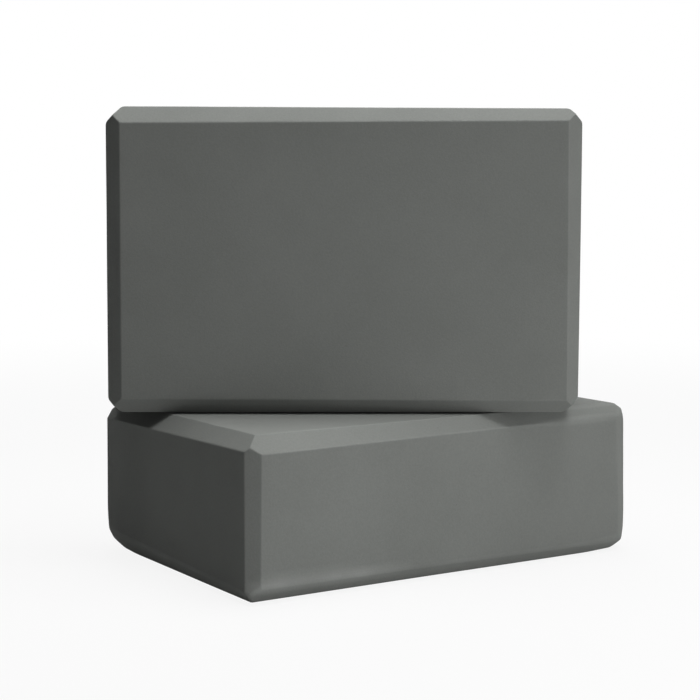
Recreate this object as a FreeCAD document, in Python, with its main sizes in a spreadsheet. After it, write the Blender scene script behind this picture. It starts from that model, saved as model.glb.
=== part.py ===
"""Pair of foam yoga blocks with bevelled edges: one lies flat, the other stands on its long side across it.

Millimetres and degrees. The origin is the middle of the lower block's base, with +X along that block's
length and +Z up.
"""
import FreeCAD, Part
import os
import Sketcher

PARTS_FOLDER = "parts"

# Driving dimensions: each one's name, value and meaning
SIZES = (
    ("block_length", 225.0, "longest side of a block"),
    ("block_width", 145.0, "middle side of a block"),
    ("block_thickness", 75.0, "shortest side of a block"),
    ("bevel", 7.0, "how far the bevel on an edge reaches along each of the two faces beside it"),
    ("edge_radius", 2.0, "rounding where a bevel meets a face or another bevel"),
    ("upper_along", -16.0, "middle of the upper block, along the lower one"),
    ("upper_across", -1.0, "middle of the upper block, across the lower one"),
    ("upper_turn", -32.5, "turn of the upper block about the upright axis"),
)

# Ends of a sketch line, and the sketch's own origin, as constraints name them
START = 1
END = 2
ORIGIN = (-1, 1)


def make_sheet(doc):
    """Put the driving dimensions in a sheet named Sizes, one row each."""
    sheet = doc.addObject("Spreadsheet::Sheet", "Sizes")
    for row, (alias, value, meaning) in enumerate(SIZES, start=1):
        sheet.set(f"A{row}", meaning)
        sheet.set(f"B{row}", str(value))
        sheet.setAlias(f"B{row}", alias)
    doc.recompute()


def add_sketch(body, name, plane_role):
    """Add a sketch to a body, on one of the body's own three origin planes."""
    sketch = body.newObject("Sketcher::SketchObject", name)
    plane = next(feature for feature in body.Origin.OriginFeatures if feature.Role == plane_role)
    sketch.AttachmentSupport = (plane, [""])
    sketch.MapMode = "FlatFace"
    return sketch


def add_outline(sketch, corners):
    """Draw a closed outline through the corners and return the numbers of its lines, in order."""
    points = [FreeCAD.Vector(across, up, 0) for across, up in corners]
    lines = []
    for start, end in zip(points, points[1:] + points[:1]):
        lines.append(sketch.addGeometry(Part.LineSegment(start, end), False))
    for line, following in zip(lines, lines[1:] + lines[:1]):
        sketch.addConstraint(Sketcher.Constraint("Coincident", line, END, following, START))
    return lines


def bind_distance(sketch, kind, ends, expression):
    """Tie a horizontal or vertical distance between two points of a sketch to the sheet."""
    points = [FreeCAD.Vector() if end == ORIGIN else sketch.getPoint(*end) for end in ends]
    offset = points[1] - points[0]
    distance = offset.x if kind == "DistanceX" else offset.y
    first, second = ends if distance >= 0 else reversed(ends)
    number = sketch.addConstraint(Sketcher.Constraint(kind, *first, *second, abs(distance)))
    sketch.setExpression(f"Constraints[{number}]", expression)


def square_up(sketch, sides, width, height):
    """Make four sides level or upright, and set each half the width or height from the origin."""
    bottom, right, top, left = sides
    for line in (bottom, top):
        sketch.addConstraint(Sketcher.Constraint("Horizontal", line))
        bind_distance(sketch, "DistanceY", (ORIGIN, (line, START)), f"({height}) / 2")
    for line in (right, left):
        sketch.addConstraint(Sketcher.Constraint("Vertical", line))
        bind_distance(sketch, "DistanceX", (ORIGIN, (line, START)), f"({width}) / 2")


def draw_rectangle(sketch, width, height):
    """Draw a rectangle about the origin whose width and height are sheet expressions."""
    half_width = sketch.evalExpression(width) / 2
    half_height = sketch.evalExpression(height) / 2
    sides = add_outline(sketch, (
        (-half_width, -half_height), (half_width, -half_height),
        (half_width, half_height), (-half_width, half_height),
    ))
    square_up(sketch, sides, width, height)


def draw_bevelled_rectangle(sketch, width, height):
    """Draw a rectangle about the origin with a bevel across each corner, as a block looks from any side."""
    half_width = sketch.evalExpression(width) / 2
    half_height = sketch.evalExpression(height) / 2
    inner_width = half_width - sketch.evalExpression("Sizes.bevel")
    inner_height = half_height - sketch.evalExpression("Sizes.bevel")
    lines = add_outline(sketch, (
        (-inner_width, -half_height), (inner_width, -half_height),
        (half_width, -inner_height), (half_width, inner_height),
        (inner_width, half_height), (-inner_width, half_height),
        (-half_width, inner_height), (-half_width, -inner_height),
    ))
    sides = lines[0::2]
    bevels = lines[1::2]
    square_up(sketch, sides, width, height)
    for line in bevels:
        for kind in ("DistanceX", "DistanceY"):
            bind_distance(sketch, kind, ((line, START), (line, END)), "Sizes.bevel")


def trim_edges(body, name, plane_role, width, height):
    """Bevel the four edges that run square to a plane, by cutting off what lies outside the block's outline."""
    sketch = add_sketch(body, f"{name}_outline", plane_role)
    draw_bevelled_rectangle(sketch, width, height)
    draw_rectangle(sketch, f"{width} + 2 * Sizes.bevel", f"{height} + 2 * Sizes.bevel")
    pocket = body.newObject("PartDesign::Pocket", name)
    pocket.Profile = sketch
    pocket.Type = "ThroughAll"
    pocket.SideType = "Symmetric"
    return pocket


def make_block(doc, name, depth, height):
    """Make one foam block about its own middle, with its length along X.

    The depth along Y and the height along Z are the block's width and thickness, whichever way it stands.
    """
    length = "Sizes.block_length"
    body = doc.addObject("PartDesign::Body", name)
    body.Label = name

    plan = add_sketch(body, f"{name}_plan", "XY_Plane")
    draw_bevelled_rectangle(plan, length, depth)
    slab = body.newObject("PartDesign::Pad", f"{name}_slab")
    slab.Profile = plan
    slab.SideType = "Symmetric"
    slab.setExpression("Length", height)

    trim_edges(body, f"{name}_long_bevels", "YZ_Plane", depth, height)
    trimmed = trim_edges(body, f"{name}_end_bevels", "XZ_Plane", length, height)
    doc.recompute()

    rounding = body.newObject("PartDesign::Fillet", f"{name}_rounding")
    rounding.Base = (trimmed, [""])
    rounding.UseAllEdges = True
    rounding.setExpression("Radius", "Sizes.edge_radius")
    body.Tip = rounding
    return body


def make_blocks(doc):
    """Make the lower block, flat on the ground, and the upper block, standing on the lower one's top."""
    lower = make_block(doc, "lower_block", depth="Sizes.block_width", height="Sizes.block_thickness")
    lower.setExpression("Placement.Base.z", "Sizes.block_thickness / 2")

    upper = make_block(doc, "upper_block", depth="Sizes.block_thickness", height="Sizes.block_width")
    upper.setExpression("Placement.Base.x", "Sizes.upper_along")
    upper.setExpression("Placement.Base.y", "Sizes.upper_across")
    upper.setExpression("Placement.Base.z", "Sizes.block_thickness + Sizes.block_width / 2")
    upper.setExpression("Placement.Rotation.Angle", "Sizes.upper_turn")
    return [lower, upper]


def check(doc, blocks):
    """Stop with a message if an object failed to build, a cut took nothing off or a block isn't sound."""
    failed = [item.Name for item in doc.Objects if "Invalid" in item.State or "Error" in item.State]
    if failed:
        raise RuntimeError(f"objects that failed to build: {failed}")
    for block in blocks:
        shape = block.Shape
        if shape.isNull() or not shape.isValid() or len(shape.Solids) != 1:
            raise RuntimeError(f"{block.Label} is not one sound solid")
        features = [item for item in block.Group if item.isDerivedFrom("PartDesign::Feature")]
        for before, after in zip(features, features[1:]):
            if after.Shape.Volume >= before.Shape.Volume:
                raise RuntimeError(f"{after.Name} took nothing off")


def main():
    """Build the pair, check it and write one file for each block."""
    doc = FreeCAD.newDocument("yoga_blocks")
    make_sheet(doc)
    blocks = make_blocks(doc)
    doc.recompute()
    check(doc, blocks)
    os.makedirs(PARTS_FOLDER, exist_ok=True)
    for block in blocks:
        block.Shape.exportStep(os.path.join(PARTS_FOLDER, f"{block.Label}.step"))
        box = block.Shape.BoundBox
        print(f"{block.Label}: {block.Shape.Volume:.1f} mm3, {len(block.Shape.Faces)} faces, "
              f"x {box.XMin:.2f} to {box.XMax:.2f}, y {box.YMin:.2f} to {box.YMax:.2f}, "
              f"z {box.ZMin:.2f} to {box.ZMax:.2f}")


main()
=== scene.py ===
"""Looks of a stacked pair of foam yoga blocks with bevelled edges, in a plain white studio.

Metres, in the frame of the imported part: the origin is the middle of the lower block's base, +X runs along
that block and +Z is up.
"""
import logging
import math
import random
from collections.abc import Iterator, Mapping
from contextlib import contextmanager
from dataclasses import dataclass, field
from enum import Enum
from itertools import product
from typing import Any

import bmesh
import bpy
from mathutils import Matrix, Vector


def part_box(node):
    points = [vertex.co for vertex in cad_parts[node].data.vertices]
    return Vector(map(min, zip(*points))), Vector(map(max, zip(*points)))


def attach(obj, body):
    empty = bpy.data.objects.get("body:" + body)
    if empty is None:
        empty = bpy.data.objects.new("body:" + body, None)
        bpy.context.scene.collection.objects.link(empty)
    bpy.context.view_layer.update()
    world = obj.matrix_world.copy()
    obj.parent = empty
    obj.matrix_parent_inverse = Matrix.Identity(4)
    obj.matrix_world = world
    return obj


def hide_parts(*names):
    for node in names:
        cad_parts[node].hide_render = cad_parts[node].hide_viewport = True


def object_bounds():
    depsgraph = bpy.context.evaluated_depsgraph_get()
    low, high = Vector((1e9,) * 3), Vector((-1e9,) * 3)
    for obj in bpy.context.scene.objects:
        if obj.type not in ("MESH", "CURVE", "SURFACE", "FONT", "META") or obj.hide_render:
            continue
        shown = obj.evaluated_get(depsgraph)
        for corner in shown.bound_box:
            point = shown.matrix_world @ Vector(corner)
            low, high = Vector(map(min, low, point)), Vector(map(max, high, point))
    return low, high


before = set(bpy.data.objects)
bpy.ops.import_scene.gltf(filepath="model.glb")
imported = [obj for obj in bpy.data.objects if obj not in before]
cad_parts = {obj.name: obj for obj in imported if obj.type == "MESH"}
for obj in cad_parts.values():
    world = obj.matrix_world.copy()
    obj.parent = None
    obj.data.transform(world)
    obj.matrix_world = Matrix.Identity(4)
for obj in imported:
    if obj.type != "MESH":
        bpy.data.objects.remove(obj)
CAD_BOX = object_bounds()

MM = 0.001
# Points on the roundings, which the finish lightens: partly wear, partly a painted highlight along the
# edges
WEAR_AND_HIGHLIGHT_ATTRIBUTE = "edge_wear_and_painted_highlight"
WEIGHT_LAYER = "bevel_weight_edge"

# Points of a cut that are nearer than this are one point
CUT_TOLERANCE = 1e-6

# Directions whose dot product is below this are square to each other
SQUARE_DOT = 0.1

# Decimals by which the normals of one flat agree
NORMAL_DIGITS = 3

# Degrees between a face and the bevel beside it
BEVEL_TURN = 45.0

# Mean of a noise texture
NOISE_MEAN = 0.5

# Places of a Mix node's colour sockets, which share their names with its other sockets
MIX_FACTOR = 0
MIX_FIRST = 6
MIX_SECOND = 7
MIX_RESULT = 2

log = logging.getLogger("yoga_blocks")


class Axis(Enum):
    """A block's own three axes, as indices of its vectors."""

    LENGTH = 0
    WIDTH = 1
    THICKNESS = 2


class LightPath(Enum):
    """The rays that see the studio as a plain white surround."""

    CAMERA = "Is Camera Ray"
    GLOSSY = "Is Glossy Ray"
    TRANSMISSION = "Is Transmission Ray"


class Number:
    """A shader number that takes part in Python arithmetic."""

    def __init__(self, graph: "ShaderGraph", socket: bpy.types.NodeSocket) -> None:
        """Wrap a socket of a graph.

        Args:
            graph: the graph that the socket is in.
            socket: an output socket.
        """
        self.graph = graph
        self.socket = socket

    def __add__(self, other: "Number | float") -> "Number":
        """Add a number."""
        return self.graph.math("ADD", self, other)

    def __sub__(self, other: "Number | float") -> "Number":
        """Take a number away."""
        return self.graph.math("SUBTRACT", self, other)

    def __mul__(self, other: "Number | float") -> "Number":
        """Multiply by a number."""
        return self.graph.math("MULTIPLY", self, other)

    def __lt__(self, other: "Number | float") -> "Number":
        """Give 1 where this is less, and 0 elsewhere."""
        return self.graph.math("LESS_THAN", self, other)

    __radd__ = __add__


class ShaderGraph:
    """A node tree that is filled by calls instead of by hand."""

    def __init__(self, tree: bpy.types.NodeTree) -> None:
        """Take over a tree and empty it.

        Args:
            tree: the node tree of a material or of the world.
        """
        self.tree = tree
        tree.nodes.clear()

    def node(
        self,
        kind: str,
        settings: Mapping[str, Any] | None = None,
        inputs: Mapping[str | int, Any] | None = None,
    ) -> bpy.types.Node:
        """Add a node.

        Args:
            kind: the node's type name.
            settings: its own settings, set before its sockets.
            inputs: a plain value, a socket or a Number for each socket, by name or by place.

        Returns:
            The new node.
        """
        made = self.tree.nodes.new(kind)
        for name, value in (settings or {}).items():
            setattr(made, name, value)
        for key, value in (inputs or {}).items():
            socket = made.inputs[key]
            if isinstance(value, Number):
                value = value.socket
            if isinstance(value, bpy.types.NodeSocket):
                self.tree.links.new(value, socket)
            else:
                socket.default_value = value
        return made

    def number(
        self,
        kind: str,
        output: str,
        settings: Mapping[str, Any] | None = None,
        inputs: Mapping[str | int, Any] | None = None,
    ) -> Number:
        """Add a node and take one of its outputs as a number.

        Args:
            kind: the node's type name.
            output: the name of the output to take.
            settings: as for node.
            inputs: as for node.

        Returns:
            The output, ready for arithmetic.
        """
        return Number(self, self.node(kind, settings, inputs).outputs[output])

    def math(self, operation: str, first: Number | float, second: Number | float) -> Number:
        """Add a Math node.

        Args:
            operation: the node's operation.
            first: its first value.
            second: its second value.

        Returns:
            Its result.
        """
        return self.number("ShaderNodeMath", "Value", {"operation": operation}, {0: first, 1: second})

    def mix_colour(
        self, factor: Number, first: tuple[float, ...], second: tuple[float, ...]
    ) -> bpy.types.NodeSocket:
        """Blend two colours.

        Args:
            factor: 0 for the first colour, 1 for the second, and more to go on past it.
            first: a linear colour with its alpha.
            second: another.

        Returns:
            The blended colour's socket.
        """
        mix = self.node(
            "ShaderNodeMix", {"data_type": "RGBA", "clamp_factor": False},
            {MIX_FACTOR: factor, MIX_FIRST: first, MIX_SECOND: second},
        )
        return mix.outputs[MIX_RESULT]

    def seen_as_surround(self) -> Number:
        """Tell the rays that see the white surround from those that only carry light.

        Returns:
            1 on the first, 0 on the others.
        """
        path = self.node("ShaderNodeLightPath")
        rays = [Number(self, path.outputs[ray.value]) for ray in LightPath]
        return self.math("MINIMUM", sum(rays[1:], rays[0]), 1.0)


@dataclass(frozen=True)
class FoamFinish:
    """Matte closed-cell foam: fine cells, a faint cloudiness, a few pinholes, and paler roundings that are
    partly wear and partly a painted highlight.

    A tone is a weight in the blend from dark to light, and a height a weight in the skin's relief.
    """

    dark: tuple[float, float, float] = (0.128, 0.134, 0.126)
    light: tuple[float, float, float] = (0.172, 0.179, 0.170)
    middle_tone: float = 0.5
    roughness: float = 0.78
    roughness_spread: float = 0.12
    specular_level: float = 0.06
    cloud_size: float = 45 * MM
    cloud_detail: float = 3.0
    cloud_roughness: float = 0.55
    cloud_tone: float = 0.7
    grain_size: float = 0.9 * MM
    grain_detail: float = 2.0
    grain_roughness: float = 0.6
    grain_tone: float = 0.7
    grain_height: float = 0.6
    cell_size: float = 0.7 * MM
    cell_height: float = 0.4
    pinhole_spacing: float = 9 * MM
    pinhole_radius: float = 0.4 * MM
    pinhole_share: float = 0.12
    pinhole_tone: float = 0.5
    pinhole_height: float = 2.0
    relief: float = 0.12 * MM
    relief_strength: float = 0.5
    # How much the roundings and scuffs are lightened: partly wear, partly painted highlight
    wear_and_highlight_tone: float = 0.65

    def make(self, name: str) -> bpy.types.Material:
        """Make the material.

        Args:
            name: the material's name.

        Returns:
            The new material.
        """
        material = bpy.data.materials.new(name)
        material.use_nodes = True
        graph = ShaderGraph(material.node_tree)
        place = graph.node("ShaderNodeTexCoord").outputs["Object"]
        cloud = graph.number(
            "ShaderNodeTexNoise", "Fac", None,
            {
                "Vector": place, "Scale": 1 / self.cloud_size,
                "Detail": self.cloud_detail, "Roughness": self.cloud_roughness,
            },
        )
        grain = graph.number(
            "ShaderNodeTexNoise", "Fac", None,
            {
                "Vector": place, "Scale": 1 / self.grain_size,
                "Detail": self.grain_detail, "Roughness": self.grain_roughness,
            },
        )
        cells = graph.number(
            "ShaderNodeTexVoronoi", "Distance", {"feature": "F1"},
            {"Vector": place, "Scale": 1 / self.cell_size},
        )
        pinholes = self._pinholes(graph, place)
        wear_and_highlight = graph.number("ShaderNodeAttribute", "Fac", {"attribute_name": WEAR_AND_HIGHLIGHT_ATTRIBUTE})
        tone = (
            self.middle_tone
            + (cloud - NOISE_MEAN) * self.cloud_tone
            + (grain - NOISE_MEAN) * self.grain_tone
            - pinholes * self.pinhole_tone
            # Paler roundings and scuffs: partly wear, partly a painted highlight along the edges
            + wear_and_highlight * cloud * self.wear_and_highlight_tone
        )
        colour = graph.mix_colour(tone, (*self.dark, 1.0), (*self.light, 1.0))
        roughness = self.roughness + (grain - NOISE_MEAN) * self.roughness_spread
        height = grain * self.grain_height + cells * self.cell_height - pinholes * self.pinhole_height
        bump = graph.node(
            "ShaderNodeBump", None,
            {"Strength": self.relief_strength, "Distance": self.relief, "Height": height},
        )
        shader = graph.node(
            "ShaderNodeBsdfPrincipled", None,
            {
                "Base Color": colour,
                "Roughness": roughness,
                "Specular IOR Level": self.specular_level,
                "Normal": bump.outputs["Normal"],
            },
        )
        graph.node("ShaderNodeOutputMaterial", None, {"Surface": shader.outputs["BSDF"]})
        return material

    def _pinholes(self, graph: ShaderGraph, place: bpy.types.NodeSocket) -> Number:
        """Scatter open cells over the skin.

        Args:
            graph: the material's graph.
            place: the coordinates to scatter on.

        Returns:
            1 in a pinhole, 0 elsewhere.
        """
        spots = graph.node(
            "ShaderNodeTexVoronoi", {"feature": "F1"},
            {"Vector": place, "Scale": 1 / self.pinhole_spacing},
        )
        near = Number(graph, spots.outputs["Distance"]) < self.pinhole_radius / self.pinhole_spacing
        draw = graph.number("ShaderNodeSeparateColor", "Red", None, {"Color": spots.outputs["Color"]})
        return near * (draw < self.pinhole_share)


@dataclass(frozen=True)
class BlockEdge:
    """One of a block's twelve edges.

    The sides say where it lies along the other two axes, in their order: 1 or -1.
    """

    along: Axis
    sides: tuple[int, int]

    @property
    def across(self) -> tuple[int, int]:
        """The indices of the two axes that the edge doesn't run along."""
        first, second = (axis.value for axis in Axis if axis is not self.along)
        return first, second


@dataclass(frozen=True)
class Trim:
    """How far a bevel reaches along the faces beside an edge, at the edge's low end and at its high end.

    A lean above 0 makes it reach further along the first of the edge's two other axes than along the
    second.
    """

    low: float
    high: float
    lean: float = 0.0


@dataclass(frozen=True)
class ScuffAndHighlight:
    """A pale scuff on a stretch of an edge, which is also a painted highlight on the bevel below it.

    It lies where the edge's bevel meets the face across the first of the edge's two other axes. Its middle
    is measured along the edge from the low end. It fades out at half its length from there, and at its
    reach from the line where bevel and face meet.
    """

    edge: BlockEdge
    middle: float
    half_length: float
    reach: float
    strength: float


BLOCK_EDGES = [BlockEdge(axis, sides) for axis in Axis for sides in product((-1, 1), repeat=2)]


@dataclass
class FoamBlock:
    """One foam block, trimmed by hand on every edge.

    Sides and corners are given in the block's own axes, by 1 or -1 on each. A soft corner's number is how
    far its softening reaches, and the core is the share of that reach that is softened fully.
    """

    name: str
    node: str
    body: str
    face_towards: Vector
    width_towards: Vector
    trims: dict[BlockEdge, Trim]
    crisp_sides: tuple[tuple[Axis, int], ...]
    worn_sides: tuple[tuple[Axis, int], ...]
    soft_corners: dict[tuple[int, int, int], float]
    # Pale scuffs that are also painted highlights on the bevels
    scuffs_and_highlights: tuple[ScuffAndHighlight, ...]
    finish: FoamFinish
    seed: int
    bevel: float = 7 * MM
    bevels_beside: float = 1.4
    trim_wander: float = 0.5 * MM
    crisp_radius: float = 1.4 * MM
    worn_radius: float = 3.8 * MM
    rounding_steps: int = 5
    flat_area: float = 2e-4
    cell: float = 3 * MM
    weld: float = 0.05 * MM
    soft_core: float = 0.6
    soft_rounds: int = 60
    ripple: float = 0.25 * MM
    ripple_size: float = 70 * MM
    half: Vector = field(init=False)
    place: Matrix = field(init=False)
    piece: bpy.types.Object = field(init=False)

    def build(self) -> bpy.types.Object:
        """Model the block from a plain slab.

        Returns:
            The finished piece.
        """
        axes, self.half = self._read_solid()
        low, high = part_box(self.node)
        self.place = Matrix.Translation((low + high) / 2) @ axes.to_4x4()
        self.piece = self._add_slab()
        with self._editing():
            self._trim_edges()
            self._weigh_edges()
        self._round_edges()
        self._mark_wear_and_highlight()
        with self._editing():
            self._cut_cells()
        if self.soft_corners:
            self._soften_corners()
        for scuff_and_highlight in self.scuffs_and_highlights:
            self._add_scuff_and_highlight(scuff_and_highlight)
        self._set_down()
        self._ripple_skin()
        self._smooth()
        return self.piece

    def dress(self) -> None:
        """Give the piece its finish, and tie it to the part."""
        self.piece.data.materials.clear()
        self.piece.data.materials.append(self.finish.make(f"{self.name}_finish"))
        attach(self.piece, self.body)
        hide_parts(self.node)

    def _read_solid(self) -> tuple[Matrix, Vector]:
        """Read the block's axes and half sizes from the flats of its solid.

        Returns:
            The axes as the columns of a rotation, and the half length, width and thickness.
        """
        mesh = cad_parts[self.node].data
        areas: dict[tuple[float, ...], float] = {}
        for face in mesh.polygons:
            normal = tuple(round(value, NORMAL_DIGITS) for value in face.normal)
            areas[normal] = areas.get(normal, 0.0) + face.area
        flats = [Vector(normal).normalized() for normal in sorted(areas, key=areas.get, reverse=True)]
        thickness = flats[0] if flats[0].dot(self.face_towards) > 0 else -flats[0]
        side = next(flat for flat in flats if abs(flat.dot(thickness)) < SQUARE_DOT)
        width = side if side.dot(self.width_towards) > 0 else -side
        axes = Matrix((width.cross(thickness), width, thickness)).transposed()
        corners = [axes.transposed() @ vertex.co for vertex in mesh.vertices]
        spans = [[corner[axis.value] for corner in corners] for axis in Axis]
        return axes, Vector((max(span) - min(span)) / 2 for span in spans)

    def _add_slab(self) -> bpy.types.Object:
        """Add a plain slab of the block's full size, about the origin.

        Returns:
            The slab.
        """
        bpy.ops.object.select_all(action="DESELECT")
        bpy.ops.mesh.primitive_cube_add(size=2.0)
        slab = bpy.context.object
        slab.name = self.name
        slab.data.name = self.name
        slab.scale = self.half
        bpy.ops.object.transform_apply(location=False, rotation=False, scale=True)
        return slab

    @contextmanager
    def _editing(self) -> Iterator[None]:
        """Work on the whole piece in edit mode."""
        bpy.ops.object.mode_set(mode="EDIT")
        bpy.ops.mesh.select_mode(type="EDGE")
        bpy.ops.mesh.select_all(action="SELECT")
        yield
        bpy.ops.object.mode_set(mode="OBJECT")

    def _trim_edges(self) -> None:
        """Slice a bevel off every edge, each slice a little off true as a hand trims it."""
        draw = random.Random(self.seed)
        for edge in BLOCK_EDGES:
            wander = [draw.uniform(-self.trim_wander, self.trim_wander) for _ in range(2)]
            trim = self.trims.get(edge, Trim(self.bevel + wander[0], self.bevel + wander[1]))
            middle = (trim.low + trim.high) / 2
            normal = Vector()
            normal[edge.along.value] = (trim.high - trim.low) / (2 * self.half[edge.along.value])
            point = Vector()
            for axis, side, share in zip(edge.across, edge.sides, (1 + trim.lean, 1 - trim.lean)):
                normal[axis] = side / share
                point[axis] = side * (self.half[axis] - middle * share / 2)
            bpy.ops.mesh.select_all(action="SELECT")
            bpy.ops.mesh.bisect(
                plane_co=point, plane_no=normal.normalized(),
                use_fill=True, clear_outer=True, threshold=CUT_TOLERANCE,
            )

    def _weigh_edges(self) -> None:
        """Say how much each edge is to be rounded: fully where handling wore it, less where it is crisp."""
        bpy.ops.mesh.select_all(action="SELECT")
        bpy.ops.mesh.remove_doubles(threshold=CUT_TOLERANCE)
        bpy.ops.mesh.normals_make_consistent(inside=False)
        mesh = bmesh.from_edit_mesh(self.piece.data)
        layers = mesh.edges.layers.float
        weight = layers.get(WEIGHT_LAYER) or layers.new(WEIGHT_LAYER)
        for edge in mesh.edges:
            middle = (edge.verts[0].co + edge.verts[1].co) / 2
            crisp = self._beside(middle, self.crisp_sides) and not self._beside(middle, self.worn_sides)
            edge[weight] = self.crisp_radius / self.worn_radius if crisp else 1.0
        bmesh.update_edit_mesh(self.piece.data)

    def _beside(self, point: Vector, sides: tuple[tuple[Axis, int], ...]) -> bool:
        """Tell whether a point is within a bevel's reach of one of some sides of the block.

        Args:
            point: a point in the block's own axes.
            sides: the sides, each an axis and 1 or -1.

        Returns:
            Whether the point is beside one of them.
        """
        reach = self.bevels_beside * self.bevel
        return any(point[axis.value] * side > self.half[axis.value] - reach for axis, side in sides)

    def _round_edges(self) -> None:
        """Round every edge of the trimmed block by its weight."""
        bpy.ops.object.modifier_add(type="BEVEL")
        rounding = self.piece.modifiers[-1]
        rounding.limit_method = "WEIGHT"
        rounding.width = self.worn_radius * math.tan(math.radians(BEVEL_TURN) / 2)
        rounding.segments = self.rounding_steps
        rounding.use_clamp_overlap = False
        bpy.ops.object.modifier_apply(modifier=rounding.name)

    def _mark_wear_and_highlight(self) -> None:
        """Note which points lie on a rounding, for the finish to lighten them: partly wear, partly a
        painted highlight along the rounded edges.
        """
        mesh = self.piece.data
        flat = {index for face in mesh.polygons if face.area > self.flat_area for index in face.vertices}
        wear_and_highlight = mesh.attributes.new(WEAR_AND_HIGHLIGHT_ATTRIBUTE, "FLOAT", "POINT")
        wear_and_highlight.data.foreach_set("value", [float(point.index not in flat) for point in mesh.vertices])

    def _cut_cells(self) -> None:
        """Cut the skin into small cells, so that it can ripple."""
        for axis in Axis:
            half = self.half[axis.value]
            count = round(2 * half / self.cell)
            for step in range(1, count):
                point = Vector()
                point[axis.value] = half * (2 * step / count - 1)
                normal = Vector()
                normal[axis.value] = 1.0
                bpy.ops.mesh.select_all(action="SELECT")
                bpy.ops.mesh.bisect(plane_co=point, plane_no=normal, threshold=CUT_TOLERANCE)
        bpy.ops.mesh.select_all(action="SELECT")
        bpy.ops.mesh.remove_doubles(threshold=self.weld)

    def _soften_corners(self) -> None:
        """Round off the corners that have been knocked about most."""
        tips = [
            (Vector(half * side for half, side in zip(self.half, corner)), reach)
            for corner, reach in self.soft_corners.items()
        ]
        group = self.piece.vertex_groups.new(name="soft_corners")
        for point in self.piece.data.vertices:
            distance = min((point.co - tip).length / reach for tip, reach in tips)
            if distance < 1:
                softness = (1 - distance) / (1 - self.soft_core)
                group.add([point.index], min(softness, 1.0), "REPLACE")
        bpy.ops.object.modifier_add(type="SMOOTH")
        softening = self.piece.modifiers[-1]
        softening.vertex_group = group.name
        softening.iterations = self.soft_rounds
        bpy.ops.object.modifier_apply(modifier=softening.name)

    def _add_scuff_and_highlight(self, scuff_and_highlight: ScuffAndHighlight) -> None:
        """Add a pale scuff, which is also a painted highlight, to the wear and painted edge highlight that
        the finish shows.

        Args:
            scuff_and_highlight: where it is and how strong.
        """
        edge = scuff_and_highlight.edge
        trim = self.trims[edge]
        first, second = edge.across
        middle = Vector()
        middle[edge.along.value] = scuff_and_highlight.middle - self.half[edge.along.value]
        middle[first] = edge.sides[0] * self.half[first]
        middle[second] = edge.sides[1] * (self.half[second] - trim.low * (1 - trim.lean))
        wear_and_highlight = self.piece.data.attributes[WEAR_AND_HIGHLIGHT_ATTRIBUTE].data
        for point in self.piece.data.vertices:
            away = point.co - middle
            along = away[edge.along.value] / scuff_and_highlight.half_length
            across = math.hypot(away[first], away[second]) / scuff_and_highlight.reach
            # The scuff is partly wear and partly a painted highlight across the bevel
            wear_and_highlight[point.index].value += scuff_and_highlight.strength * max(0.0, 1 - along ** 2 - across ** 2)

    def _set_down(self) -> None:
        """Put the block where its solid is, with its place in its mesh."""
        self.piece.matrix_world = self.place
        bpy.ops.object.transform_apply(location=True, rotation=True, scale=True)

    def _ripple_skin(self) -> None:
        """Sink the skin by a fraction of a millimetre in broad soft ripples."""
        clouds = bpy.data.textures.new(f"{self.name}_ripple", "CLOUDS")
        clouds.noise_scale = self.ripple_size
        clouds.noise_depth = 1
        bpy.ops.object.modifier_add(type="DISPLACE")
        ripple = self.piece.modifiers[-1]
        ripple.texture = clouds
        ripple.texture_coords = "LOCAL"
        ripple.strength = self.ripple
        ripple.mid_level = 1.0
        bpy.ops.object.modifier_apply(modifier=ripple.name)

    def _smooth(self) -> None:
        """Shade the piece smooth, with its flats kept flat."""
        bpy.ops.object.shade_smooth()
        bpy.ops.object.modifier_add(type="WEIGHTED_NORMAL")
        bpy.ops.object.modifier_apply(modifier=self.piece.modifiers[-1].name)


@dataclass(frozen=True)
class SoftBox:
    """A studio lamp that points at the blocks.

    The azimuth is measured from the camera's side: 0 stands behind the camera, 90 to the blocks' right.
    """

    name: str
    azimuth: float
    elevation: float
    distance: float
    width: float
    height: float
    power: float

    def build(self, target: Vector, camera_azimuth: float) -> bpy.types.Object:
        """Add the lamp.

        Args:
            target: the point that it faces.
            camera_azimuth: the camera's own azimuth in the part's frame, in degrees.

        Returns:
            The new lamp.
        """
        turn = math.radians(camera_azimuth + self.azimuth)
        rise = math.radians(self.elevation)
        back = Vector((
            math.sin(turn) * math.cos(rise), -math.cos(turn) * math.cos(rise), math.sin(rise)
        ))
        data = bpy.data.lights.new(self.name, "AREA")
        data.shape = "RECTANGLE"
        data.size = self.width
        data.size_y = self.height
        data.energy = self.power
        lamp = bpy.data.objects.new(self.name, data)
        lamp.location = target + back * self.distance
        lamp.rotation_euler = (-back).to_track_quat("-Z", "Y").to_euler()
        bpy.context.scene.collection.objects.link(lamp)
        return lamp


@dataclass
class PhotoCamera:
    """The camera that took the photograph, found by fitting the blocks' edges to it."""

    azimuth: float = -34.14
    pitch_down: float = 5.88
    roll: float = 0.23
    back: float = 900 * MM
    right: float = -9 * MM
    height: float = 193.6 * MM
    lens: float = 93.2
    sensor: float = 36.0

    def build(self) -> bpy.types.Object:
        """Add the camera and make it the scene's own.

        Returns:
            The camera.
        """
        data = bpy.data.cameras.new("photo_camera")
        data.lens = self.lens
        data.sensor_width = self.sensor
        camera = bpy.data.objects.new("photo_camera", data)
        turn = Matrix.Rotation(math.radians(self.azimuth), 4, "Z")
        tilt = Matrix.Rotation(math.radians(90 - self.pitch_down), 4, "X")
        roll = Matrix.Rotation(math.radians(self.roll), 4, "Z")
        stand = turn @ Matrix.Translation((self.right, -self.back, self.height))
        camera.matrix_world = stand @ tilt @ roll
        bpy.context.scene.collection.objects.link(camera)
        bpy.context.scene.camera = camera
        return camera


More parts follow.
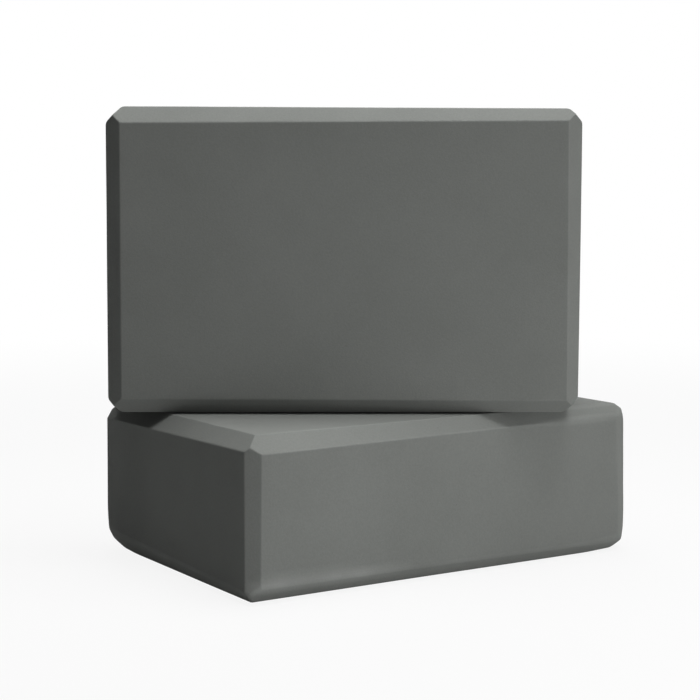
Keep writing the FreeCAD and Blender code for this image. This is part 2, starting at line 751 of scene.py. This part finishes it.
@dataclass
class Studio:
    """A white floor that fades into a white surround, with soft lamps."""

    camera_azimuth: float
    lamps: tuple[SoftBox, ...]
    target: Vector
    surround: tuple[float, float, float, float] = (1.0, 1.0, 1.0, 1.0)
    ambient: float = 0.01
    floor_size: float = 12.0
    floor_colour: tuple[float, float, float, float] = (0.47, 0.47, 0.47, 1.0)
    floor_glow: float = 0.89
    fade_start: float = 0.35
    fade_end: float = 1.2

    def build(self) -> None:
        """Set the view transform and add the world, the floor and the lamps."""
        bpy.context.scene.view_settings.view_transform = "Standard"
        self._add_world()
        self._add_floor()
        for lamp in self.lamps:
            lamp.build(self.target, self.camera_azimuth)
            log.info("lamp %s", lamp.name)

    def _add_world(self) -> None:
        """Make a surround that is white to look at and lights the blocks at a low level."""
        world = bpy.data.worlds.new("surround")
        bpy.context.scene.world = world
        world.use_nodes = True
        graph = ShaderGraph(world.node_tree)
        seen = graph.seen_as_surround()
        strength = seen * (1.0 - self.ambient) + self.ambient
        shine = graph.node("ShaderNodeBackground", None, {"Color": self.surround, "Strength": strength})
        graph.node("ShaderNodeOutputWorld", None, {"Surface": shine.outputs["Background"]})

    def _add_floor(self) -> None:
        """Lay a wide floor under the blocks."""
        bpy.ops.object.select_all(action="DESELECT")
        bpy.ops.mesh.primitive_plane_add(size=self.floor_size)
        floor = bpy.context.object
        floor.name = "floor"
        floor.data.materials.append(self._floor_material())

    def _floor_material(self) -> bpy.types.Material:
        """Make a pale floor that keeps the blocks' shadow and fades to the surround's white.

        Returns:
            The material.
        """
        material = bpy.data.materials.new("floor_paint")
        material.use_nodes = True
        graph = ShaderGraph(material.node_tree)
        place = graph.node("ShaderNodeTexCoord").outputs["Object"]
        reach = graph.number("ShaderNodeVectorMath", "Value", {"operation": "LENGTH"}, {0: place})
        far = graph.number(
            "ShaderNodeMapRange", "Result", {"interpolation_type": "SMOOTHSTEP"},
            {
                "Value": reach, "From Min": self.fade_start, "From Max": self.fade_end,
                "To Min": self.floor_glow, "To Max": 1.0,
            },
        )
        paint = graph.node("ShaderNodeBsdfDiffuse", None, {"Color": self.floor_colour})
        glow = graph.node("ShaderNodeEmission", None, {"Color": self.surround})
        seen = graph.node(
            "ShaderNodeMixShader", None,
            {0: far * graph.seen_as_surround(), 1: paint.outputs["BSDF"], 2: glow.outputs["Emission"]},
        )
        graph.node("ShaderNodeOutputMaterial", None, {"Surface": seen.outputs["Shader"]})
        return material


def make_blocks(finish: FoamFinish) -> list[FoamBlock]:
    """Describe the two blocks.

    Args:
        finish: the foam that both are cut from.

    Returns:
        The lower block and the upper block.
    """
    lower = FoamBlock(
        name="lower_foam",
        node="lower_block",
        body="lower",
        face_towards=Vector((0, 0, 1)),
        width_towards=Vector((0, 1, 0)),
        trims={
            BlockEdge(Axis.LENGTH, (-1, 1)): Trim(8.0 * MM, 5.7 * MM, lean=0.015),
            BlockEdge(Axis.LENGTH, (-1, -1)): Trim(6.9 * MM, 4.8 * MM, lean=-0.14),
            BlockEdge(Axis.LENGTH, (1, -1)): Trim(7.6 * MM, 7.2 * MM),
            BlockEdge(Axis.WIDTH, (-1, 1)): Trim(7.2 * MM, 8.0 * MM, lean=0.087),
            BlockEdge(Axis.WIDTH, (-1, -1)): Trim(4.5 * MM, 10.5 * MM, lean=-0.115),
            BlockEdge(Axis.WIDTH, (1, 1)): Trim(7.0 * MM, 7.2 * MM),
            BlockEdge(Axis.WIDTH, (1, -1)): Trim(9.6 * MM, 8.5 * MM),
            BlockEdge(Axis.THICKNESS, (-1, -1)): Trim(5.15 * MM, 5.65 * MM, lean=0.16),
            BlockEdge(Axis.THICKNESS, (-1, 1)): Trim(7.2 * MM, 8.1 * MM, lean=0.115),
            BlockEdge(Axis.THICKNESS, (1, -1)): Trim(5.5 * MM, 7.6 * MM, lean=0.13),
        },
        crisp_sides=((Axis.LENGTH, -1), (Axis.WIDTH, -1)),
        worn_sides=((Axis.LENGTH, 1), (Axis.WIDTH, 1), (Axis.THICKNESS, -1)),
        soft_corners={
            (1, -1, -1): 26 * MM,
            (-1, 1, -1): 24 * MM,
            (1, -1, 1): 70 * MM,
            (1, 1, -1): 24 * MM,
        },
        # A pale scuff and painted highlight on the bevel of the long side's bottom edge, near its low end
        scuffs_and_highlights=(
            ScuffAndHighlight(
                BlockEdge(Axis.LENGTH, (-1, -1)),
                middle=26 * MM, half_length=66 * MM, reach=5 * MM, strength=4.2,
            ),
        ),
        finish=finish,
        seed=11,
    )
    upper = FoamBlock(
        name="upper_foam",
        node="upper_block",
        body="upper",
        face_towards=Vector((0, -1, 0)),
        width_towards=Vector((0, 0, 1)),
        trims={
            BlockEdge(Axis.LENGTH, (1, 1)): Trim(7.9 * MM, 5.8 * MM),
            BlockEdge(Axis.LENGTH, (-1, 1)): Trim(7.4 * MM, 6.6 * MM),
            BlockEdge(Axis.WIDTH, (-1, 1)): Trim(7.1 * MM, 7.2 * MM),
            BlockEdge(Axis.WIDTH, (1, 1)): Trim(6.1 * MM, 7.4 * MM),
            BlockEdge(Axis.THICKNESS, (-1, 1)): Trim(7.7 * MM, 7.7 * MM),
            BlockEdge(Axis.THICKNESS, (1, 1)): Trim(6.4 * MM, 6.4 * MM),
            BlockEdge(Axis.THICKNESS, (-1, -1)): Trim(6.3 * MM, 6.3 * MM),
        },
        crisp_sides=((Axis.THICKNESS, 1),),
        worn_sides=(),
        soft_corners={},
        scuffs_and_highlights=(),
        finish=finish,
        seed=23,
    )
    return [lower, upper]


def make_lamps() -> tuple[SoftBox, ...]:
    """Describe the studio's lamps.

    Returns:
        The lamps: one above, one on the right, two low in front and one behind.
    """
    return (
        SoftBox(
            "overhead", azimuth=75, elevation=84, distance=0.75, width=0.54, height=0.54, power=11.0,
        ),
        SoftBox(
            "right_strip", azimuth=84, elevation=4, distance=1.6, width=0.45, height=0.45, power=6.1,
        ),
        SoftBox(
            "front_fill", azimuth=42, elevation=-1, distance=0.6, width=0.4, height=0.05, power=0.86,
        ),
        SoftBox(
            "front_kicker", azimuth=28, elevation=-9, distance=0.45, width=0.2, height=0.06, power=0.33,
        ),
        SoftBox(
            "back_fill", azimuth=185, elevation=40, distance=1.2, width=0.8, height=0.8, power=5.0,
        ),
    )


def main() -> None:
    """Build the blocks, the camera and the studio, in that order."""
    logging.basicConfig(level=logging.INFO, format="%(message)s")
    for block in make_blocks(FoamFinish()):
        piece = block.build()
        block.dress()
        log.info("%s: %d faces", piece.name, len(piece.data.polygons))
    camera = PhotoCamera()
    camera.build()
    low, high = CAD_BOX
    studio = Studio(
        camera_azimuth=camera.azimuth,
        lamps=make_lamps(),
        target=(low + high) / 2,
    )
    studio.build()


if __name__ == "__main__":
    main()
